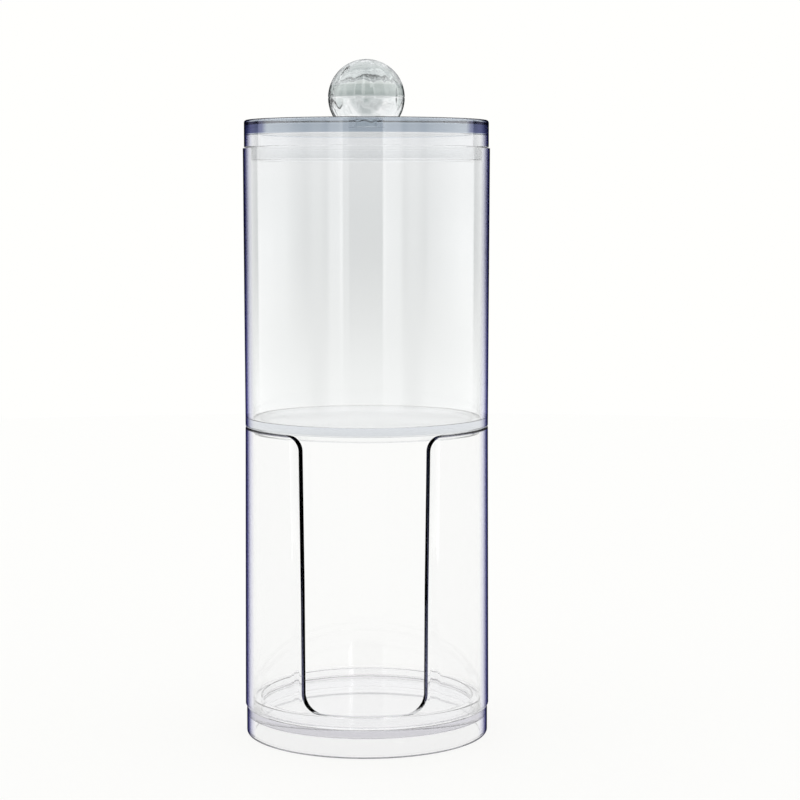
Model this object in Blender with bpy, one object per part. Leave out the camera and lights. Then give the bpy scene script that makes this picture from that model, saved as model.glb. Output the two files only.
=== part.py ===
"""Clear plastic store for cotton swabs and pads: a lidded jar stacked on a slotted pad tube.

Blender 4.5 script. Lengths are metres and Z is up. The origin is the middle of the foot, and
the slot that the pads come out of faces -Y. Run it in Blender to build the model.
"""

import math

import bmesh
import bpy

# Widths and gaps that the round mouldings share
MOUTH_DIAMETER = 0.0700
RADIUS_DRAFT = 0.00035
WALL = 0.0020
PLUG_WALL = 0.0023
FIT_GAP = 0.0003
SEAT_GAP = 0.0003
EDGE_ROUND = 0.0005
JOINT_ROUND = 0.0002
INNER_ROUND = 0.0005

# Base: a plate on a skirt, with a plug ring that goes up inside the tube
BASE_HEIGHT = 0.0080
BASE_PLATE = 0.0024
BASE_PLUG_HEIGHT = 0.0029

# Pad tube: a sleeve with a slot that is open at the top rim
TUBE_HEIGHT = 0.0799
SLOT_TOP_WIDTH = 0.0363
SLOT_FOOT_WIDTH = 0.0347
SLOT_SILL_HEIGHT = 0.0034
SLOT_MOUTH_ROUND = 0.0043
SLOT_FOOT_ROUND = 0.0055
SLOT_EDGE_ROUND = 0.0003

# Swab jar: a cup whose floor has a spigot ring below it
JAR_HEIGHT = 0.0786
JAR_FLOOR = 0.0024
JAR_SPIGOT_HEIGHT = 0.0018

# Lid: a thick plate on a skirt, with a plug ring that drops into the jar
LID_HEIGHT = 0.0076
LID_PLATE = 0.0041
LID_PLUG_DEPTH = 0.0038
LID_TOP_ROUND = 0.0007

# Ball knob: a solid ball with a parting line and a peg that is pushed into the lid
BALL_DIAMETER = 0.0217
BALL_RISE = 0.0064
PEG_DIAMETER = 0.0060
PEG_LENGTH = 0.0024
PEG_CHAMFER = 0.0004
PARTING_WIDTH = 0.0005
PARTING_DEPTH = 0.0002

# How finely round forms are divided, and how far a cutter runs past what it cuts
ROUND_FACETS = 80
BALL_FACETS = 56
BALL_RINGS = 18
EDGE_STEPS = 2
SLOT_STEPS = 8
CUTTER_START_SHARE = 0.5
OVERRUN = 0.0020
SHARP_ANGLE = math.radians(32)
SLOT_EDGE_ANGLE = math.radians(60)
MERGE_DISTANCE = 0.00001

# Clear plastic: how strongly it bends light, then the colour and roughness of each piece
REFRACTIVE_INDEX = 1.59
BASE_FINISH = ((0.86, 0.86, 0.92), 0.06)
TUBE_FINISH = ((0.90, 0.90, 0.95), 0.04)
JAR_FINISH = ((0.88, 0.89, 0.93), 0.04)
LID_FINISH = ((0.78, 0.81, 0.88), 0.05)
KNOB_FINISH = ((0.90, 0.92, 0.92), 0.03)

# Radii that follow from the widths above
MOUTH_RADIUS = MOUTH_DIAMETER / 2
DRAWN_RADIUS = MOUTH_RADIUS - RADIUS_DRAFT
PEG_RADIUS = PEG_DIAMETER / 2
BALL_RADIUS = BALL_DIAMETER / 2


def clear_scene():
    """Removes whatever the scene holds before the model is built."""
    for item in list(bpy.data.objects):
        bpy.data.objects.remove(item, do_unlink=True)


def clear_plastic(name, colour, roughness):
    """Makes the transparent moulded plastic of one piece."""
    material = bpy.data.materials.new(name)
    material.use_nodes = True
    shader = material.node_tree.nodes["Principled BSDF"]
    shader.inputs["Base Color"].default_value = (*colour, 1)
    shader.inputs["Roughness"].default_value = roughness
    shader.inputs["Metallic"].default_value = 0
    shader.inputs["IOR"].default_value = REFRACTIVE_INDEX
    shader.inputs["Transmission Weight"].default_value = 1
    material.diffuse_color = (*colour, 1)
    return material


def arc(across, up, radius, first, last, steps):
    """Points of an arc about (across, up), from one angle to another in degrees."""
    angles = [math.radians(first + (last - first) * step / steps) for step in range(steps + 1)]
    return [(across + radius * math.cos(a), up + radius * math.sin(a)) for a in angles]


def turned(name, outline, facets, material):
    """Spins a closed or axis-ended outline of (radius, height) points into one solid."""
    shape = bmesh.new()
    points = [shape.verts.new((radius, 0, height)) for radius, height in outline]
    edges = [shape.edges.new(pair) for pair in zip(points, points[1:])]
    if outline[0][0] > 0:
        edges.append(shape.edges.new((points[-1], points[0])))
    bmesh.ops.spin(
        shape, geom=points + edges, cent=(0, 0, 0), axis=(0, 0, 1), angle=math.tau, steps=facets,
        use_merge=True,
    )
    bmesh.ops.remove_doubles(shape, verts=shape.verts, dist=MERGE_DISTANCE)
    bmesh.ops.recalc_face_normals(shape, faces=shape.faces)
    mesh = bpy.data.meshes.new(name)
    shape.to_mesh(mesh)
    shape.free()
    return finished(name, mesh, material)


def finished(name, mesh, material):
    """Gives a mesh its material and shading, and links it as a named piece."""
    mesh.materials.clear()
    mesh.materials.append(material)
    mesh.shade_smooth()
    mesh.set_sharp_from_angle(angle=SHARP_ANGLE)
    piece = bpy.data.objects.new(name, mesh)
    bpy.context.collection.objects.link(piece)
    return piece


def outer_edge(radius, height, rounding, first):
    """A rounded edge with its corner at (radius, height), as the quarter turn from angle first."""
    middle = math.radians(first - 45)
    across = radius - rounding * math.copysign(1, math.cos(middle))
    up = height - rounding * math.copysign(1, math.sin(middle))
    return arc(across, up, rounding, first, first - 90, EDGE_STEPS)


def rim(inner, outer, height, outer_round=EDGE_ROUND):
    """The two rounded edges of a wall's upper end, from its inner face to its outer face."""
    return outer_edge(inner, height, EDGE_ROUND, 180) + outer_edge(outer, height, outer_round, 90)


def foot(outer, inner, height, rounding=EDGE_ROUND):
    """The two rounded edges of a wall's lower end, from its outer face to its inner face."""
    return outer_edge(outer, height, rounding, 0) + outer_edge(inner, height, rounding, -90)


def inner_corner(radius, height, first):
    """A rounded corner inside a cup or cap, which starts at angle first and turns left."""
    middle = math.radians(first + 45)
    across = radius - INNER_ROUND * math.copysign(1, math.cos(middle))
    up = height - INNER_ROUND * math.copysign(1, math.sin(middle))
    return arc(across, up, INNER_ROUND, first, first + 90, EDGE_STEPS)


def make_base(material):
    """Base with its foot at height 0."""
    plug_outer = MOUTH_RADIUS - WALL - FIT_GAP
    plug_inner = plug_outer - PLUG_WALL
    outline = [(0, BASE_HEIGHT)]
    outline += inner_corner(plug_inner, BASE_HEIGHT, -90)
    outline += rim(plug_inner, plug_outer, BASE_HEIGHT + BASE_PLUG_HEIGHT)
    outline += [(plug_outer, BASE_HEIGHT)]
    outline += outer_edge(DRAWN_RADIUS, BASE_HEIGHT, JOINT_ROUND, 90)
    outline += foot(DRAWN_RADIUS, DRAWN_RADIUS - WALL, 0)
    outline += inner_corner(DRAWN_RADIUS - WALL, BASE_HEIGHT - BASE_PLATE, 0)
    outline += [(0, BASE_HEIGHT - BASE_PLATE)]
    return turned("base", outline, ROUND_FACETS, material)


def make_tube(material):
    """Pad tube with its lower end at height 0, drafted so that it is widest there."""
    outline = rim(DRAWN_RADIUS - WALL, DRAWN_RADIUS, TUBE_HEIGHT)
    outline += foot(MOUTH_RADIUS, MOUTH_RADIUS - WALL, 0, JOINT_ROUND)
    sleeve = turned("uncut_tube", outline, ROUND_FACETS, material)
    cutter = make_slot_cutter()
    cut = sleeve.modifiers.new("slot", "BOOLEAN")
    cut.operation = "DIFFERENCE"
    cut.solver = "EXACT"
    cut.object = cutter
    softened = sleeve.modifiers.new("slot edges", "BEVEL")
    softened.width = SLOT_EDGE_ROUND
    softened.segments = 1
    softened.limit_method = "ANGLE"
    softened.angle_limit = SLOT_EDGE_ANGLE
    bpy.context.view_layer.update()
    evaluated = sleeve.evaluated_get(bpy.context.evaluated_depsgraph_get())
    mesh = bpy.data.meshes.new_from_object(evaluated)
    mesh.name = "pad_tube"
    for tool in (sleeve, cutter):
        bpy.data.objects.remove(tool, do_unlink=True)
    return finished("pad_tube", mesh, material)


def slot_outline():
    """Slot seen from the front, as (across, up) points from the right of its mouth to the left."""
    half_top = SLOT_TOP_WIDTH / 2
    half_foot = SLOT_FOOT_WIDTH / 2
    mouth_edge = half_top + SLOT_MOUTH_ROUND
    right = [(mouth_edge, TUBE_HEIGHT + OVERRUN)]
    right += arc(mouth_edge, TUBE_HEIGHT - SLOT_MOUTH_ROUND, SLOT_MOUTH_ROUND, 90, 180, SLOT_STEPS)
    corner = (half_foot - SLOT_FOOT_ROUND, SLOT_SILL_HEIGHT + SLOT_FOOT_ROUND)
    right += arc(*corner, SLOT_FOOT_ROUND, 0, -90, SLOT_STEPS)
    left = [(-across, up) for across, up in reversed(right)]
    return right + left


def make_slot_cutter():
    """Wedge with the slot's outline on the tube's wall, and sides that point at the tube's axis."""
    shape = bmesh.new()
    ends = []
    for depth in (MOUTH_RADIUS * CUTTER_START_SHARE, MOUTH_RADIUS + OVERRUN):
        ends.append(
            [
                shape.verts.new((depth * math.tan(math.asin(across / MOUTH_RADIUS)), -depth, up))
                for across, up in slot_outline()
            ]
        )
    near, far = ends
    shape.faces.new(near)
    shape.faces.new(list(reversed(far)))
    for index in range(len(near)):
        shape.faces.new((near[index], near[index - 1], far[index - 1], far[index]))
    bmesh.ops.triangulate(shape, faces=shape.faces)
    bmesh.ops.recalc_face_normals(shape, faces=shape.faces)
    mesh = bpy.data.meshes.new("slot_cutter")
    shape.to_mesh(mesh)
    shape.free()
    cutter = bpy.data.objects.new("slot_cutter", mesh)
    cutter.hide_render = True
    cutter.display_type = "WIRE"
    bpy.context.collection.objects.link(cutter)
    return cutter


def make_jar(material):
    """Swab jar with its shoulder at height 0 and a spigot below, drafted to be widest at its mouth."""
    spigot_outer = DRAWN_RADIUS - WALL - FIT_GAP
    spigot_inner = spigot_outer - PLUG_WALL
    outline = [(0, JAR_FLOOR)]
    outline += inner_corner(DRAWN_RADIUS - WALL, JAR_FLOOR, -90)
    outline += rim(MOUTH_RADIUS - WALL, MOUTH_RADIUS, JAR_HEIGHT, JOINT_ROUND)
    outline += outer_edge(DRAWN_RADIUS, 0, JOINT_ROUND, 0)
    outline += [(spigot_outer, 0)]
    outline += foot(spigot_outer, spigot_inner, -JAR_SPIGOT_HEIGHT)
    outline += [(spigot_inner, 0), (0, 0)]
    return turned("swab_jar", outline, ROUND_FACETS, material)


def make_lid(material):
    """Lid with its skirt's lower face at height 0, its plug below and a socket for the knob on top."""
    plug_outer = MOUTH_RADIUS - WALL - FIT_GAP
    plug_inner = plug_outer - PLUG_WALL
    socket_radius = PEG_RADIUS + FIT_GAP
    outline = [(0, LID_HEIGHT - PEG_LENGTH), (socket_radius, LID_HEIGHT - PEG_LENGTH)]
    outline += [(socket_radius, LID_HEIGHT)]
    outline += outer_edge(DRAWN_RADIUS, LID_HEIGHT, LID_TOP_ROUND, 90)
    outline += outer_edge(DRAWN_RADIUS, 0, JOINT_ROUND, 0)
    outline += [(plug_outer, 0)]
    outline += foot(plug_outer, plug_inner, -LID_PLUG_DEPTH)
    outline += inner_corner(plug_inner, LID_HEIGHT - LID_PLATE, 0)
    outline += [(0, LID_HEIGHT - LID_PLATE)]
    return turned("lid", outline, ROUND_FACETS, material)


def make_knob(material):
    """Ball knob with its flat foot at height 0 and its peg below."""
    middle = BALL_RISE - SEAT_GAP
    foot_angle = math.degrees(math.asin(middle / BALL_RADIUS))
    parting_angle = math.degrees(PARTING_WIDTH / 2 / BALL_RADIUS)
    share_above = (90 - parting_angle) / (180 - 2 * parting_angle - (90 - foot_angle))
    rings_above = round(BALL_RINGS * share_above)
    outline = arc(0, middle, BALL_RADIUS, 90, parting_angle, rings_above)
    outline += [(BALL_RADIUS - PARTING_DEPTH, middle)]
    outline += arc(0, middle, BALL_RADIUS, -parting_angle, -foot_angle, BALL_RINGS - rings_above)
    outline += [(PEG_RADIUS, 0), (PEG_RADIUS, PEG_CHAMFER - PEG_LENGTH)]
    outline += [(PEG_RADIUS - PEG_CHAMFER, -PEG_LENGTH), (0, -PEG_LENGTH)]
    outline[0] = (0, middle + BALL_RADIUS)
    return turned("ball_knob", outline, BALL_FACETS, material)


def stack(pieces):
    """Seats each piece on the one before it, at the given height above that one's origin."""
    below = None
    for piece, height in pieces:
        piece.parent = below
        piece.location = (0, 0, height)
        below = piece


def main():
    clear_scene()
    base = make_base(clear_plastic("base plastic", *BASE_FINISH))
    tube = make_tube(clear_plastic("tube plastic", *TUBE_FINISH))
    jar = make_jar(clear_plastic("jar plastic", *JAR_FINISH))
    lid = make_lid(clear_plastic("lid plastic", *LID_FINISH))
    knob = make_knob(clear_plastic("knob plastic", *KNOB_FINISH))
    stack(
        [
            (base, 0),
            (tube, BASE_HEIGHT + SEAT_GAP),
            (jar, TUBE_HEIGHT + SEAT_GAP),
            (lid, JAR_HEIGHT + SEAT_GAP),
            (knob, LID_HEIGHT + SEAT_GAP),
        ]
    )


main()
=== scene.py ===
"""Finish of a round clear plastic store: a lidded swab jar stacked on a slotted cotton pad tube.

Blender 4.5 script in metres, Z up, with the slot facing -Y. Each piece is turned afresh in fine
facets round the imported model's own sizes, because clear plastic shows every facet.
"""

import math

import bmesh
import bpy
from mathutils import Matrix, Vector


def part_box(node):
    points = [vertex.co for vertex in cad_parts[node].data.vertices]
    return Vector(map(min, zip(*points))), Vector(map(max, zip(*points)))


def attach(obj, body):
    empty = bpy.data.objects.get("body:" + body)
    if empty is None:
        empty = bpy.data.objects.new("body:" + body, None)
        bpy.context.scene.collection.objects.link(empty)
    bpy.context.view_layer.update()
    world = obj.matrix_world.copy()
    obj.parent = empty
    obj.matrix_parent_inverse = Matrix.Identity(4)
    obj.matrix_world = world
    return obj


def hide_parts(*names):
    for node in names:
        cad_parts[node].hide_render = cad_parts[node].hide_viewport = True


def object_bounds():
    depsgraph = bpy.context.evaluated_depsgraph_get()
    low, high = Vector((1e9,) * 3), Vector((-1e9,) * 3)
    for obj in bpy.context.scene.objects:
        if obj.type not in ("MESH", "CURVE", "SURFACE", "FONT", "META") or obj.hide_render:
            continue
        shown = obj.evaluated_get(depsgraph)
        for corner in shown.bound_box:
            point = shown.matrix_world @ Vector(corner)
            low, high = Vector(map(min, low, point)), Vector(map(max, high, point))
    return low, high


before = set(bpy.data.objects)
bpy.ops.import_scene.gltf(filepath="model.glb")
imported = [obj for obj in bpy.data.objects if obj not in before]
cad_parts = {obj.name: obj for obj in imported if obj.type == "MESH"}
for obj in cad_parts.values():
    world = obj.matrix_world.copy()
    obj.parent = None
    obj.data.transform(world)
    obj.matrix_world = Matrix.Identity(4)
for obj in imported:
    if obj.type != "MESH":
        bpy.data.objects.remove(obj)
cad_low, cad_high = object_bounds()

# Base
# The foot of the stack: a clear round plate on a short skirt, with a plug ring above the plate that
# goes up inside the pad tube. One injection moulding with softly rounded edges, a tight push fit.

WALL = 0.0020
PLUG_WALL = 0.0023
EDGE_ROUND = 0.0005
PLUG_ROUND = 0.00025
INNER_ROUND = 0.0002
JOINT_ROUND = 0.00005
BASE_PLUG_HEIGHT = 0.0029
BASE_PLATE = 0.0026
base_low, base_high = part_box("base")
base_radius = base_high.x
base_top = base_high.z - BASE_PLUG_HEIGHT
plug_outer = cad_high.x - WALL - 0.0003
plug_inner = plug_outer - PLUG_WALL

ARC_STEPS = 6
GUARD = 0.00008
TURN_STEPS = 256
WELD = 0.000004


def rounded(corners):
    """Outline points from corners of (across, up, rounding): an arc and two guard points at each."""
    points = []
    for index, (across, up, rounding) in enumerate(corners):
        here = Vector((across, up))
        if not rounding:
            points.append(here)
            continue
        before = (Vector(corners[index - 1][:2]) - here).normalized()
        after = (Vector(corners[(index + 1) % len(corners)][:2]) - here).normalized()
        half_angle = before.angle(after) / 2
        reach = rounding / math.tan(half_angle)
        middle = here + (before + after).normalized() * (rounding / math.sin(half_angle))
        first, last = here + before * reach, here + after * reach
        points.append(first + before * GUARD)
        turn = (first - middle).slerp
        for step in range(ARC_STEPS + 1):
            points.append(middle + turn(last - middle, step / ARC_STEPS) * rounding)
        points.append(last + after * GUARD)
    return points


def turning_tree():
    """Node tree that sweeps an outline round the Z axis and welds it into one closed wall."""
    tree = bpy.data.node_groups.new("turned moulding", "GeometryNodeTree")
    sockets = tree.interface
    sockets.new_socket("Outline", in_out="INPUT", socket_type="NodeSocketGeometry")
    sockets.new_socket("Radius", in_out="INPUT", socket_type="NodeSocketFloat")
    sockets.new_socket("Steps", in_out="INPUT", socket_type="NodeSocketInt")
    sockets.new_socket("Weld", in_out="INPUT", socket_type="NodeSocketFloat")
    sockets.new_socket("Material", in_out="INPUT", socket_type="NodeSocketMaterial")
    sockets.new_socket("Moulding", in_out="OUTPUT", socket_type="NodeSocketGeometry")
    start, end = tree.nodes.new("NodeGroupInput"), tree.nodes.new("NodeGroupOutput")
    outline = tree.nodes.new("GeometryNodeMeshToCurve")
    circle = tree.nodes.new("GeometryNodeCurvePrimitiveCircle")
    sweep = tree.nodes.new("GeometryNodeCurveToMesh")
    weld = tree.nodes.new("GeometryNodeMergeByDistance")
    smooth = tree.nodes.new("GeometryNodeSetShadeSmooth")
    real = tree.nodes.new("GeometryNodeRealizeInstances")
    finish = tree.nodes.new("GeometryNodeSetMaterial")
    join = tree.links.new
    join(start.outputs["Outline"], outline.inputs["Mesh"])
    join(start.outputs["Steps"], circle.inputs["Resolution"])
    join(start.outputs["Radius"], circle.inputs["Radius"])
    join(circle.outputs["Curve"], sweep.inputs["Curve"])
    join(outline.outputs["Curve"], sweep.inputs["Profile Curve"])
    join(sweep.outputs["Mesh"], weld.inputs["Geometry"])
    join(start.outputs["Weld"], weld.inputs["Distance"])
    join(weld.outputs["Geometry"], smooth.inputs["Geometry"])
    join(smooth.outputs["Geometry"], real.inputs["Geometry"])
    join(real.outputs["Geometry"], finish.inputs["Geometry"])
    join(start.outputs["Material"], finish.inputs["Material"])
    join(finish.outputs["Geometry"], end.inputs["Moulding"])
    return tree


turning = turning_tree()


def turned(name, corners, radius, material):
    """Turns an outline, closed or ending on the axis, into a plain mesh piece."""
    points = rounded(corners)
    closed = corners[0][0] > 0
    edges = [(index, index + 1) for index in range(len(points) - 1)]
    if closed:
        edges.append((len(points) - 1, 0))
    sketch = bpy.data.meshes.new(name + " outline")
    sketch.from_pydata([(across - radius, -up, 0) for across, up in points], edges, [])
    former = bpy.data.objects.new(name + " former", sketch)
    bpy.context.scene.collection.objects.link(former)
    sweep = former.modifiers.new("turned", "NODES")
    sweep.node_group = turning
    given = {"Radius": radius, "Steps": TURN_STEPS, "Weld": WELD, "Material": material}
    for item in turning.interface.items_tree:
        if item.in_out == "INPUT" and item.name in given:
            sweep[item.identifier] = given[item.name]
    evaluated = former.evaluated_get(bpy.context.evaluated_depsgraph_get())
    mesh = bpy.data.meshes.new_from_object(evaluated)
    bpy.data.objects.remove(former)
    outward(mesh)
    mesh.name = name
    piece = bpy.data.objects.new(name, mesh)
    bpy.context.scene.collection.objects.link(piece)
    return piece


def outward(mesh):
    """Turns every face of a closed mesh outwards."""
    shape = bmesh.new()
    shape.from_mesh(mesh)
    bmesh.ops.recalc_face_normals(shape, faces=shape.faces)
    shape.to_mesh(mesh)
    shape.free()


def surface_group():
    """Shader group for polished moulded plastic: faint flow waves, fine rubs and a little haze."""
    group = bpy.data.node_groups.new("moulded surface", "ShaderNodeTree")
    sockets = group.interface
    for name, value in (("Polish", 0.012), ("Haze", 0.03), ("Flow Scale", 26.0), ("Rub Scale", 900.0)):
        sockets.new_socket(name, in_out="INPUT", socket_type="NodeSocketFloat").default_value = value
    sockets.new_socket("Roughness", in_out="OUTPUT", socket_type="NodeSocketFloat")
    sockets.new_socket("Height", in_out="OUTPUT", socket_type="NodeSocketFloat")
    start, end = group.nodes.new("NodeGroupInput"), group.nodes.new("NodeGroupOutput")
    place = group.nodes.new("ShaderNodeTexCoord")
    stretch = group.nodes.new("ShaderNodeMapping")
    stretch.inputs["Scale"].default_value = (1, 1, 0.25)
    flow = group.nodes.new("ShaderNodeTexNoise")
    flow.inputs["Detail"].default_value = 1.5
    rubs = group.nodes.new("ShaderNodeTexNoise")
    rubs.inputs["Detail"].default_value = 3.0
    haze = group.nodes.new("ShaderNodeMath")
    haze.operation = "MULTIPLY"
    rough = group.nodes.new("ShaderNodeMath")
    rough.operation = "ADD"
    join = group.links.new
    join(place.outputs["Object"], stretch.inputs["Vector"])
    join(stretch.outputs["Vector"], flow.inputs["Vector"])
    join(place.outputs["Object"], rubs.inputs["Vector"])
    join(start.outputs["Flow Scale"], flow.inputs["Scale"])
    join(start.outputs["Rub Scale"], rubs.inputs["Scale"])
    join(rubs.outputs["Fac"], haze.inputs[0])
    join(start.outputs["Haze"], haze.inputs[1])
    join(haze.outputs["Value"], rough.inputs[0])
    join(start.outputs["Polish"], rough.inputs[1])
    join(rough.outputs["Value"], end.inputs["Roughness"])
    join(flow.outputs["Fac"], end.inputs["Height"])
    return group


moulded_surface = surface_group()


def zone_group():
    """Shader group that is 1 in a band of radii and heights and fades to 0 round it."""
    group = bpy.data.node_groups.new("zone", "ShaderNodeTree")
    sockets = group.interface
    for name in ("From Radius", "To Radius", "From Height", "To Height", "Fade"):
        sockets.new_socket(name, in_out="INPUT", socket_type="NodeSocketFloat")
    sockets.new_socket("Zone", in_out="OUTPUT", socket_type="NodeSocketFloat")
    start, end = group.nodes.new("NodeGroupInput"), group.nodes.new("NodeGroupOutput")
    place = group.nodes.new("ShaderNodeTexCoord")
    flatten = group.nodes.new("ShaderNodeVectorMath")
    flatten.operation = "MULTIPLY"
    flatten.inputs[1].default_value = (1, 1, 0)
    radius = group.nodes.new("ShaderNodeVectorMath")
    radius.operation = "LENGTH"
    split = group.nodes.new("ShaderNodeSeparateXYZ")
    join = group.links.new
    join(place.outputs["Object"], flatten.inputs[0])
    join(flatten.outputs["Vector"], radius.inputs[0])
    join(place.outputs["Object"], split.inputs["Vector"])
    inside = None
    for what, low, high in (
        (radius.outputs["Value"], "From Radius", "To Radius"),
        (split.outputs["Z"], "From Height", "To Height"),
    ):
        for first, second in ((what, start.outputs[low]), (start.outputs[high], what)):
            past = group.nodes.new("ShaderNodeMath")
            past.operation = "SUBTRACT"
            fade = group.nodes.new("ShaderNodeMath")
            fade.operation = "DIVIDE"
            fade.use_clamp = True
            join(first, past.inputs[0])
            join(second, past.inputs[1])
            join(past.outputs["Value"], fade.inputs[0])
            join(start.outputs["Fade"], fade.inputs[1])
            if inside:
                both = group.nodes.new("ShaderNodeMath")
                both.operation = "MULTIPLY"
                join(inside, both.inputs[0])
                join(fade.outputs["Value"], both.inputs[1])
                inside = both.outputs["Value"]
            else:
                inside = fade.outputs["Value"]
    join(inside, end.inputs["Zone"])
    return group


zone = zone_group()

# Bands of the walls' tints and painted shade: where the outer wall starts, past every piece, and how
# softly a band ends
OUTER = 0.0336
FAR = 1
FADE = 0.0002

# Outer wall: painted shade, how dark and how violet it is by how far the surface turns away; the violet
# is partly the plastic's own tint along long paths near the outline
SILHOUETTE_SHADE = ((0.64, 0), (0.69, 0.16), (0.717, 0.30), (0.745, 0.50), (0.78, 0.76), (0.82, 0.99))
VIOLET_TINT_AND_EDGE_SHADE = ((0.62, (1, 1, 1)), (0.69, (0.84, 0.84, 1)), (0.76, (0.68, 0.67, 0.98)), (0.84, (0.5, 0.5, 0.9)))
EDGE_SHADE = (0.60, 0.60, 0.74)


def all_round(colour):
    """Stops of a tint that is the same from every side."""
    return ((0.0, colour), (1.0, colour))


def placed(nodes, band):
    """The mask of one band of radii and heights in a material."""
    place = nodes.new("ShaderNodeGroup")
    place.node_tree = zone
    for socket, value in zip(place.inputs, band):
        socket.default_value = value
    return place.outputs["Zone"]


def combined(nodes, join, operation, first, second):
    """The result of one Math node on two sockets or values."""
    worked_out = nodes.new("ShaderNodeMath")
    worked_out.operation = operation
    for socket, value in zip(worked_out.inputs, (first, second)):
        if isinstance(value, (int, float)):
            socket.default_value = value
        else:
            join(value, socket)
    return worked_out.outputs["Value"]


def ramped(nodes, join, source, stops):
    """Colours looked up by a value."""
    ramp = nodes.new("ShaderNodeValToRGB")
    points = ramp.color_ramp.elements
    while len(points) < len(stops):
        points.new(0.5)
    for point, (position, value) in zip(points, stops):
        point.position = position
        point.color = (*value, 1)
    join(source, ramp.inputs["Fac"])
    return ramp.outputs["Color"]


LEAST_LENGTH = 0.05


def turned_round(nodes, join, facing):
    """How far an upright wall turns away round the axis, whatever height it is looked at from."""
    level = nodes.new("ShaderNodeLayerWeight")
    level.inputs["Blend"].default_value = 0.5
    upright = nodes.new("ShaderNodeCombineXYZ")
    upright.inputs["Z"].default_value = 1
    join(upright.outputs["Vector"], level.inputs["Normal"])
    rise = combined(nodes, join, "SUBTRACT", 1, level.outputs["Facing"])
    flat = combined(nodes, join, "SUBTRACT", 1, combined(nodes, join, "MULTIPLY", rise, rise))
    length = combined(nodes, join, "MAXIMUM", combined(nodes, join, "SQRT", flat, 0), LEAST_LENGTH)
    straight = combined(nodes, join, "SUBTRACT", 1, facing)
    return combined(nodes, join, "SUBTRACT", 1, combined(nodes, join, "DIVIDE", straight, length))


def clear_plastic(
    name, body, density, wall=None, edges=(), tints=(), ior=1.57, wave=0.00003, flow=26.0,
    shade=EDGE_SHADE, absorbed=(0.30, 0.38, 0.50),
):
    """Polished clear plastic: glass with faint absorption, with painted dark shade where its long edges
    turn away.

    wall is the heights of its outer wall. Each of edges and tints is a band of radii and heights with
    its fade, then strengths or colours by how far the surface turns away. Edges are painted shade laid
    on as a dark tinted coat; tints multiply the base colour, mostly with painted shade.
    """
    if wall:
        edges = (((OUTER, FAR, *wall, FADE), SILHOUETTE_SHADE), *edges)
        tints = (((OUTER, FAR, *wall, FADE), VIOLET_TINT_AND_EDGE_SHADE), *tints)
    material = bpy.data.materials.new(name)
    material.use_nodes = True
    nodes, join = material.node_tree.nodes, material.node_tree.links.new
    shader = nodes["Principled BSDF"]
    shader.inputs["Metallic"].default_value = 0
    shader.inputs["Transmission Weight"].default_value = 1
    shader.inputs["IOR"].default_value = ior
    surface = nodes.new("ShaderNodeGroup")
    surface.node_tree = moulded_surface
    surface.inputs["Flow Scale"].default_value = flow
    bump = nodes.new("ShaderNodeBump")
    bump.inputs["Distance"].default_value = wave
    bump.inputs["Strength"].default_value = 1
    weight = nodes.new("ShaderNodeLayerWeight")
    weight.inputs["Blend"].default_value = 0.5
    facing = weight.outputs["Facing"]
    if wall:
        facing = turned_round(nodes, join, facing)
    # Painted shade: each edge band darkens the surface through a dark tinted coat, by how far it turns
    # away
    edge_shade_weight = None
    for band, strengths in edges:
        greys = [(turned_away, (strength,) * 3) for turned_away, strength in strengths]
        grey = ramped(nodes, join, facing, greys)
        band_edge_shade = combined(nodes, join, "MULTIPLY", grey, placed(nodes, band))
        edge_shade_weight = combined(nodes, join, "MAXIMUM", edge_shade_weight, band_edge_shade) if edge_shade_weight else band_edge_shade
    if edge_shade_weight:
        join(edge_shade_weight, shader.inputs["Coat Weight"])
        shader.inputs["Coat IOR"].default_value = 1
        shader.inputs["Coat Tint"].default_value = (*shade, 1)
    shader.inputs["Base Color"].default_value = (*body, 1)
    colour = None
    for band, colours in tints:
        blend = nodes.new("ShaderNodeMix")
        blend.data_type = "RGBA"
        blend.blend_type = "MULTIPLY"
        join(placed(nodes, band), blend.inputs["Factor"])
        join(ramped(nodes, join, facing, colours), blend.inputs["B"])
        if colour:
            join(colour, blend.inputs["A"])
        else:
            blend.inputs["A"].default_value = (*body, 1)
        colour = blend.outputs["Result"]
    if colour:
        join(colour, shader.inputs["Base Color"])
    absorb = nodes.new("ShaderNodeVolumeAbsorption")
    absorb.inputs["Color"].default_value = (*absorbed, 1)
    absorb.inputs["Density"].default_value = density
    join(surface.outputs["Roughness"], shader.inputs["Roughness"])
    join(surface.outputs["Height"], bump.inputs["Height"])
    join(bump.outputs["Normal"], shader.inputs["Normal"])
    join(absorb.outputs["Volume"], nodes["Material Output"].inputs["Volume"])
    return material


FOOT_SHADE_SIZE = 0.0006
PLATE_FADE = 0.0003
FOOT_SHADE = (
    (base_radius - FOOT_SHADE_SIZE, FAR, -FAR, FOOT_SHADE_SIZE, FADE),
    all_round((0.09, 0.09, 0.10)),
)
PLATE_SHADE = (
    (OUTER, FAR, base_top - BASE_PLATE, base_top, PLATE_FADE),
    all_round((0.81, 0.80, 0.84)),
)
base_plastic = clear_plastic(
    "base plastic",
    body=(0.97, 0.97, 0.98),
    density=3.5,
    wall=(-FADE, base_top),
    tints=(FOOT_SHADE, PLATE_SHADE),
    absorbed=(0.40, 0.40, 0.45),
)
base = turned(
    "base_moulding",
    [
        (0, base_top, 0),
        (plug_inner, base_top, INNER_ROUND),
        (plug_inner, base_high.z, PLUG_ROUND),
        (plug_outer, base_high.z, PLUG_ROUND),
        (plug_outer, base_top, JOINT_ROUND),
        (base_radius, base_top, JOINT_ROUND),
        (base_radius, 0, EDGE_ROUND),
        (base_radius - WALL, 0, EDGE_ROUND),
        (base_radius - WALL, base_top - BASE_PLATE, INNER_ROUND),
        (0, base_top - BASE_PLATE, 0),
    ],
    base_radius,
    base_plastic,
)
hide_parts("base")
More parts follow.
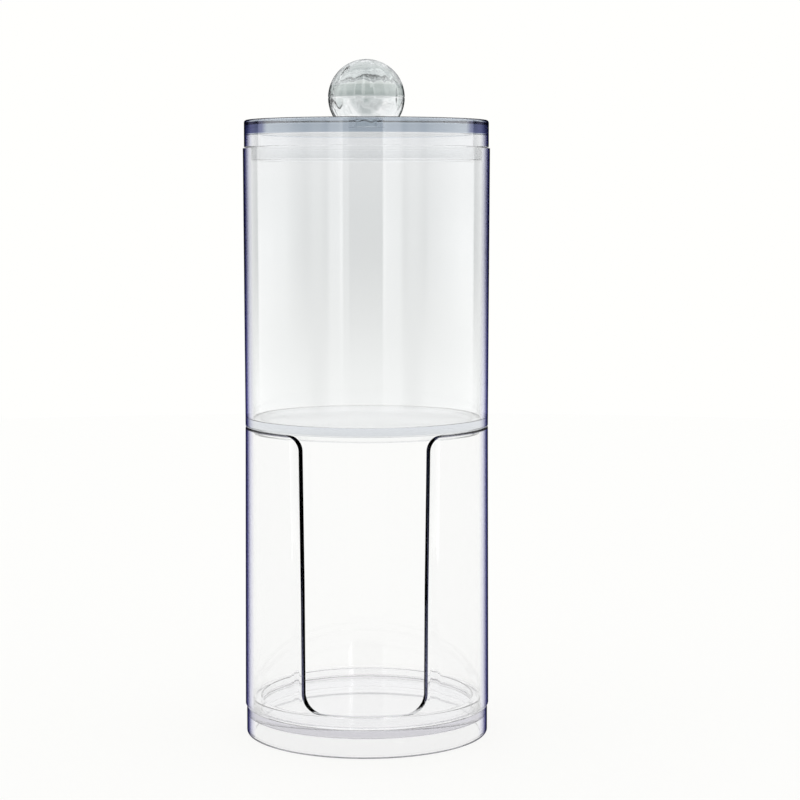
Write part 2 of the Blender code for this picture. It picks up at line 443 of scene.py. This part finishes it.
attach(base, "holder")

# Pad tube
# The clear sleeve that holds the cotton pads, open at both ends, with a tall slot in its front wall
# that is open at the top rim. Moulded with a little draft, so it is widest at its lower end.

tube_low, tube_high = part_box("pad_tube")
SLOT_TOP_WIDTH = 0.0363
SLOT_FOOT_WIDTH = 0.0347
SLOT_SILL_HEIGHT = 0.0034
SLOT_MOUTH_ROUND = 0.0043
SLOT_FOOT_ROUND = 0.0055
SLOT_STEPS = 16
SLOT_EDGE_ROUND = 0.0003
SLOT_CORNER_ANGLE = math.radians(50)
SHARP_ANGLE = math.radians(40)
OVERRUN = 0.0020
CUTTER_START_SHARE = 0.5
tube_radius = tube_high.x

RIM_SHADE_WIDTH = 0.0007
RIM_SHADE_HEIGHT = 0.0006
RIM_SHADE = (
    (base_radius - RIM_SHADE_WIDTH, FAR, tube_high.z - RIM_SHADE_HEIGHT, FAR, FADE),
    all_round((0.02, 0.02, 0.04)),
)
tube_plastic = clear_plastic(
    "tube plastic",
    body=(0.99, 0.99, 0.99),
    density=6.0,
    wall=(tube_low.z, tube_high.z),
    tints=(RIM_SHADE,),
)
tube = turned(
    "pad_tube_moulding",
    [
        (base_radius - WALL, tube_high.z, EDGE_ROUND),
        (base_radius, tube_high.z, EDGE_ROUND),
        (tube_radius, tube_low.z, JOINT_ROUND),
        (tube_radius - WALL, tube_low.z, JOINT_ROUND),
    ],
    tube_radius,
    tube_plastic,
)


def slot_outline():
    """The slot as (across, up) points, from the right of its mouth round to the left."""
    half_top, half_foot = SLOT_TOP_WIDTH / 2, SLOT_FOOT_WIDTH / 2
    mouth = half_top + SLOT_MOUTH_ROUND
    right = [(mouth, tube_high.z + OVERRUN)]
    for step in range(SLOT_STEPS + 1):
        angle = math.pi / 2 * (1 + step / SLOT_STEPS)
        across = mouth + SLOT_MOUTH_ROUND * math.cos(angle)
        right.append((across, tube_high.z + SLOT_MOUTH_ROUND * (math.sin(angle) - 1)))
    sill = tube_low.z + SLOT_SILL_HEIGHT
    for step in range(SLOT_STEPS + 1):
        angle = -math.pi / 2 * step / SLOT_STEPS
        across = half_foot + SLOT_FOOT_ROUND * (math.cos(angle) - 1)
        right.append((across, sill + SLOT_FOOT_ROUND * (math.sin(angle) + 1)))
    return right + [(-across, up) for across, up in reversed(right)]


def slot_wedge(outline):
    """Closed wedge with that outline on the tube's wall and sides that point at its axis."""
    shape = bmesh.new()
    near, far = (
        [
            shape.verts.new((depth * math.tan(math.asin(across / tube_radius)), -depth, up))
            for across, up in outline
        ]
        for depth in (tube_radius * CUTTER_START_SHARE, tube_radius + OVERRUN)
    )
    shape.faces.new(near)
    shape.faces.new(far[::-1])
    for index in range(len(near)):
        shape.faces.new((near[index], near[index - 1], far[index - 1], far[index]))
    bmesh.ops.triangulate(shape, faces=shape.faces)
    bmesh.ops.recalc_face_normals(shape, faces=shape.faces)
    mesh = bpy.data.meshes.new("slot wedge")
    shape.to_mesh(mesh)
    shape.free()
    return mesh


wedge = bpy.data.objects.new("slot wedge", slot_wedge(slot_outline()))
bpy.context.scene.collection.objects.link(wedge)
SLOT_SHADE_RISE = 0.0022
SLOT_SHADE_FADE = 0.0015
SLOT_EDGE_INDEX = 1.03
SLOT_SHADE = (
    (0, FAR, tube_low.z + SLOT_SILL_HEIGHT + SLOT_SHADE_RISE, FAR, SLOT_SHADE_FADE),
    all_round((0.02, 0.02, 0.05)),
)
slot_plastic = clear_plastic(
    "slot edge plastic",
    body=(0.99, 0.99, 0.99),
    density=6.0,
    tints=(SLOT_SHADE,),
    ior=SLOT_EDGE_INDEX,
)
wedge.data.materials.append(slot_plastic)
cut = tube.modifiers.new("slot", "BOOLEAN")
cut.operation = "DIFFERENCE"
cut.object = wedge
cut.material_mode = "TRANSFER"
soften = tube.modifiers.new("slot edges", "BEVEL")
soften.width = SLOT_EDGE_ROUND
soften.segments = 3
soften.angle_limit = SLOT_CORNER_ANGLE
soften.limit_method = "ANGLE"
mesh = bpy.data.meshes.new_from_object(tube.evaluated_get(bpy.context.evaluated_depsgraph_get()))
tube.modifiers.clear()
tube.data = mesh
bpy.data.objects.remove(wedge)
tube.data.shade_smooth()
tube.data.set_sharp_from_angle(angle=SHARP_ANGLE)
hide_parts("pad_tube")
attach(tube, "holder")

# Swab jar
# The cup that holds the cotton swabs. Its floor has a short spigot ring below it, which plugs into
# the tube's upper end. One clear moulding with a rounded rim, lifted off to fill the tube.

jar_low, jar_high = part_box("swab_jar")
JAR_FLOOR = 0.0024
JAR_SPIGOT_HEIGHT = 0.0018
jar_radius = jar_high.x
shoulder = jar_low.z + JAR_SPIGOT_HEIGHT
spigot_outer = base_radius - WALL - 0.0003

jar_plastic = clear_plastic(
    "jar plastic",
    body=(0.97, 0.975, 0.975),
    density=6.0,
    wall=(shoulder, jar_high.z),
)
jar = turned(
    "swab_jar_moulding",
    [
        (0, shoulder + JAR_FLOOR, 0),
        (base_radius - WALL, shoulder + JAR_FLOOR, INNER_ROUND),
        (jar_radius - WALL, jar_high.z, JOINT_ROUND),
        (jar_radius, jar_high.z, JOINT_ROUND),
        (base_radius, shoulder, JOINT_ROUND),
        (spigot_outer, shoulder, JOINT_ROUND),
        (spigot_outer, jar_low.z, PLUG_ROUND),
        (spigot_outer - PLUG_WALL, jar_low.z, PLUG_ROUND),
        (spigot_outer - PLUG_WALL, shoulder, JOINT_ROUND),
        (0, shoulder, 0),
    ],
    jar_radius,
    jar_plastic,
)
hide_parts("swab_jar")
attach(jar, "jar")

# Lid
# A thick clear plate with a short skirt that meets the jar's rim and a plug ring that drops inside
# it. One moulding with a round socket in the middle of its top for the knob's peg.

lid_low, lid_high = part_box("lid")
LID_PLUG_DEPTH = 0.0038
LID_PLATE = 0.0041
LID_TOP_ROUND = 0.0007
SOCKET_RADIUS = 0.0033
SOCKET_DEPTH = 0.0024
lid_radius = lid_high.x
skirt_foot = lid_low.z + LID_PLUG_DEPTH

# Painted shade on the lid's thick plate: blue-grey, darker where it turns away and darkest at its ends;
# the blue-grey is partly the plastic's own tint along the plate
LID_PLATE_TINT_AND_SHADE = (
    (OUTER, FAR, lid_high.z - LID_PLATE, lid_high.z, FADE),
    (
        (0.30, (0.56, 0.62, 0.68)),
        (0.40, (0.56, 0.62, 0.68)),
        (0.48, (0.40, 0.45, 0.54)),
    ),
)
LID_PLATE_END_SHADE = (
    (OUTER, FAR, lid_high.z - LID_PLATE, lid_high.z - LID_TOP_ROUND, FADE),
    ((0.42, 0), (0.48, 0.80), (0.54, 0.97)),
)
lid_plastic = clear_plastic(
    "lid plastic",
    body=(0.96, 0.965, 0.97),
    density=6.0,
    wall=(skirt_foot, lid_high.z + FADE),
    edges=(LID_PLATE_END_SHADE,),
    tints=(LID_PLATE_TINT_AND_SHADE,),
)
lid = turned(
    "lid_moulding",
    [
        (0, lid_high.z - SOCKET_DEPTH, 0),
        (SOCKET_RADIUS, lid_high.z - SOCKET_DEPTH, JOINT_ROUND),
        (SOCKET_RADIUS, lid_high.z, JOINT_ROUND),
        (lid_radius, lid_high.z, LID_TOP_ROUND),
        (lid_radius, skirt_foot, JOINT_ROUND),
        (plug_outer, skirt_foot, JOINT_ROUND),
        (plug_outer, lid_low.z, PLUG_ROUND),
        (plug_inner, lid_low.z, PLUG_ROUND),
        (plug_inner, lid_high.z - LID_PLATE, INNER_ROUND),
        (0, lid_high.z - LID_PLATE, 0),
    ],
    lid_radius,
    lid_plastic,
)
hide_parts("lid")
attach(lid, "lid_and_knob")

# Ball knob
# A solid clear ball with a fine parting line round its middle, moulded with a short peg that is
# pushed into the lid's socket.

knob_low, knob_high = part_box("ball_knob")
PEG_LENGTH = 0.0024
PEG_RADIUS = 0.0030
PARTING_HALF = 0.00025
PARTING_DEPTH = 0.0002
BALL_STEPS = 48
ball_radius = knob_high.x
ball_middle = knob_high.z - ball_radius
knob_foot = knob_low.z + PEG_LENGTH

# Painted shade in the solid ball: a dark outline low down, a green-grey band and a grey bowl below it
KNOB_RIM_RADIUS = 0.0085
KNOB_RIM_RISE = 0.0042
KNOB_RIM_FADE = 0.0012
KNOB_BAND_RISE = 0.0038
KNOB_BAND_DROP = 0.0001
KNOB_BAND_FADE = 0.0006
KNOB_BOWL_TOP = 0.0003
KNOB_BOWL_FOOT = 0.0052
KNOB_BOWL_FADE = 0.0005
KNOB_OUTLINE_SHADE = (
    (KNOB_RIM_RADIUS, FAR, -FAR, ball_middle + KNOB_RIM_RISE, KNOB_RIM_FADE),
    ((0.67, 0), (0.74, 0.60), (0.80, 0.97)),
)
KNOB_BAND_SHADE = (
    (0, FAR, ball_middle - KNOB_BAND_DROP, ball_middle + KNOB_BAND_RISE, KNOB_BAND_FADE),
    all_round((0.47, 0.52, 0.505)),
)
KNOB_BOWL_SHADE = (
    (0, FAR, ball_middle - KNOB_BOWL_FOOT, ball_middle - KNOB_BOWL_TOP, KNOB_BOWL_FADE),
    (
        (0.060, (0.50, 0.53, 0.53)),
        (0.090, (0.62, 0.65, 0.65)),
        (0.115, (0.95, 0.95, 0.95)),
        (0.300, (0.90, 0.92, 0.92)),
    ),
)
knob_plastic = clear_plastic(
    "knob plastic",
    body=(0.98, 0.99, 0.985),
    density=4.0,
    edges=(KNOB_OUTLINE_SHADE,),
    tints=(KNOB_BAND_SHADE, KNOB_BOWL_SHADE),
    shade=(0.55, 0.58, 0.58),
    wave=0.0009,
    flow=260.0,
)
parting_angle = PARTING_HALF / ball_radius
foot_angle = math.asin((ball_middle - knob_foot) / ball_radius)
knob_corners = [(0, knob_high.z, 0)]
for step in range(1, BALL_STEPS + 1):
    angle = math.pi / 2 + (parting_angle - math.pi / 2) * step / BALL_STEPS
    knob_corners.append((ball_radius * math.cos(angle), ball_middle + ball_radius * math.sin(angle), 0))
knob_corners.append((ball_radius - PARTING_DEPTH, ball_middle, 0))
for step in range(BALL_STEPS // 2 + 1):
    angle = -parting_angle + (parting_angle - foot_angle) * step / (BALL_STEPS // 2)
    knob_corners.append((ball_radius * math.cos(angle), ball_middle + ball_radius * math.sin(angle), 0))
knob_corners += [
    (PEG_RADIUS, knob_foot, JOINT_ROUND),
    (PEG_RADIUS, knob_low.z, JOINT_ROUND),
    (0, knob_low.z, 0),
]
knob = turned("ball_knob_moulding", knob_corners, ball_radius, knob_plastic)
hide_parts("ball_knob")
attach(knob, "lid_and_knob")

# Floor
# A plain white table that keeps a faint shadow of the stack.

FLOOR_RADIUS = 0.9
bpy.ops.mesh.primitive_circle_add(vertices=128, radius=FLOOR_RADIUS, fill_type="NGON")
floor = bpy.context.object
floor.name = "floor"
floor_white = bpy.data.materials.new("floor white")
floor_white.use_nodes = True
nodes, join = floor_white.node_tree.nodes, floor_white.node_tree.links.new
paint = nodes["Principled BSDF"]
paint.inputs["Base Color"].default_value = (0.9, 0.9, 0.89, 1)
paint.inputs["Roughness"].default_value = 0.9
glow = nodes.new("ShaderNodeEmission")
glow.inputs["Color"].default_value = (1, 1, 0.985, 1)
mix = nodes.new("ShaderNodeMixShader")
mix.inputs["Fac"].default_value = 0.85
join(paint.outputs["BSDF"], mix.inputs[1])
join(glow.outputs["Emission"], mix.inputs[2])
join(mix.outputs["Shader"], nodes["Material Output"].inputs["Surface"])
floor.data.materials.append(floor_white)

# Studio
# A white world behind and through the plastic. Its reflections show a darker room with a tall white
# diffuser on each side, fading out towards the floor.

world = bpy.data.worlds.new("studio")
bpy.context.scene.world = world
world.use_nodes = True
nodes, join = world.node_tree.nodes, world.node_tree.links.new
sky = nodes["Background"]
path = nodes.new("ShaderNodeLightPath")
place = nodes.new("ShaderNodeTexCoord")
split = nodes.new("ShaderNodeSeparateXYZ")
height = nodes.new("ShaderNodeMapRange")
height.inputs["From Min"].default_value = -1
height.inputs["From Max"].default_value = 1
through = ramped(
    nodes,
    join,
    height.outputs["Result"],
    (
        (0.440, (1.00, 1.00, 0.99)),
        (0.4535, (0.90, 0.905, 0.895)),
        (0.472, (0.815, 0.821, 0.813)),
        (0.485, (0.78, 0.788, 0.784)),
        (0.4965, (0.785, 0.795, 0.792)),
        (0.508, (0.825, 0.83, 0.83)),
        (0.550, (0.97, 0.97, 0.97)),
        (0.600, (1.00, 1.00, 1.00)),
    ),
)
room = ramped(
    nodes,
    join,
    height.outputs["Result"],
    (
        (0.4535, (1.75, 1.75, 1.74)),
        (0.472, (0.80, 0.80, 0.80)),
        (0.4835, (0.22, 0.22, 0.23)),
        (0.4965, (0.10, 0.10, 0.11)),
        (0.600, (0.15, 0.15, 0.16)),
        (0.850, (0.90, 0.90, 0.90)),
    ),
)

# Diffusers: brightness by direction in degrees round from the front, to the left below zero, and how it
# fades towards the floor
DIFFUSERS = (
    (-121, 0), (-119, 1.8), (-100, 2.3), (-80, 2.3), (-70, 1.5), (-55, 0.5), (-36, 0.4), (-32, 2.0),
    (-24, 2.2), (-23.4, 3.0), (-20.6, 3.0), (-20.4, 1.05), (-14.6, 1.05), (-14.4, 0),
    (16.4, 0), (16.6, 3.0), (18.4, 3.0), (18.6, 2.6), (32, 2.2), (36, 0.6), (56, 0.7), (62, 1.5),
    (80, 2.3), (100, 2.6), (119, 2.0), (121, 0),
)
FADING = ((0.4535, 0.25), (0.462, 0.45), (0.472, 0.9), (0.485, 1.3), (0.5, 1.05))
fading = ramped(nodes, join, height.outputs["Result"], [(rise, (value,) * 3) for rise, value in FADING])
seen = nodes.new("ShaderNodeMix")
seen.data_type = "RGBA"
plain = nodes.new("ShaderNodeMix")
plain.data_type = "RGBA"
plain.inputs["B"].default_value = (1, 1, 0.985, 1)
join(place.outputs["Generated"], split.inputs["Vector"])
join(split.outputs["Z"], height.inputs["Value"])
behind = combined(nodes, join, "MULTIPLY", split.outputs["Y"], -1)
turn = combined(nodes, join, "ARCTAN2", split.outputs["X"], behind)
from_behind = combined(nodes, join, "ADD", turn, math.pi)
share = combined(nodes, join, "DIVIDE", from_behind, math.tau)
panels = ramped(nodes, join, share, [((angle + 180) / 360, (value,) * 3) for angle, value in DIFFUSERS])
mirrored = nodes.new("ShaderNodeMath")
mirrored.operation = "SUBTRACT"
mirrored.use_clamp = True
join(path.outputs["Is Glossy Ray"], mirrored.inputs[0])
join(path.outputs["Is Transmission Ray"], mirrored.inputs[1])
join(mirrored.outputs["Value"], seen.inputs["Factor"])
join(through, seen.inputs["A"])

# The room's open corners, between the four walls, are white
aside = combined(nodes, join, "ABSOLUTE", split.outputs["X"], 0)
ahead = combined(nodes, join, "ABSOLUTE", split.outputs["Y"], 0)
squarest = combined(nodes, join, "MAXIMUM", aside, ahead)
square = nodes.new("ShaderNodeMapRange")
square.inputs["From Min"].default_value = 0.84
square.inputs["From Max"].default_value = 0.74
open_room = nodes.new("ShaderNodeMix")
open_room.data_type = "RGBA"
open_room.inputs["B"].default_value = (1, 1, 1, 1)
join(squarest, square.inputs["Value"])
join(square.outputs["Result"], open_room.inputs["Factor"])
join(room, open_room.inputs["A"])
lit = combined(nodes, join, "MULTIPLY", panels, fading)
lit_room = nodes.new("ShaderNodeMix")
lit_room.data_type = "RGBA"
lit_room.blend_type = "ADD"
lit_room.inputs["Factor"].default_value = 1
join(open_room.outputs["Result"], lit_room.inputs["A"])
join(lit, lit_room.inputs["B"])
join(lit_room.outputs["Result"], seen.inputs["B"])
join(path.outputs["Is Camera Ray"], plain.inputs["Factor"])
join(seen.outputs["Result"], plain.inputs["A"])
join(plain.outputs["Result"], sky.inputs["Color"])
sky.inputs["Strength"].default_value = 1

# Camera
# A long lens a little below the lid's top, tilted down at the stack.

CAMERA_AZIMUTH = math.radians(1.3)
CAMERA_DISTANCE = 0.6186
CAMERA_HEIGHT = 0.1548
CAMERA_TILT = math.radians(4.53)
CAMERA_PAN = math.radians(0.88)
CAMERA_LENS = 97.71
CAMERA_SHIFT = -0.045
CAMERA_NEAREST = 0.01
eye = bpy.data.cameras.new("camera")
eye.lens = CAMERA_LENS
eye.shift_y = CAMERA_SHIFT
eye.clip_start = CAMERA_NEAREST
camera = bpy.data.objects.new("camera", eye)
camera.location = (
    CAMERA_DISTANCE * math.sin(CAMERA_AZIMUTH),
    -CAMERA_DISTANCE * math.cos(CAMERA_AZIMUTH),
    CAMERA_HEIGHT,
)
camera.rotation_euler = (math.pi / 2 - CAMERA_TILT, 0, CAMERA_AZIMUTH - CAMERA_PAN)
bpy.context.scene.collection.objects.link(camera)
bpy.context.scene.camera = camera
bpy.context.scene.view_settings.view_transform = "Standard"
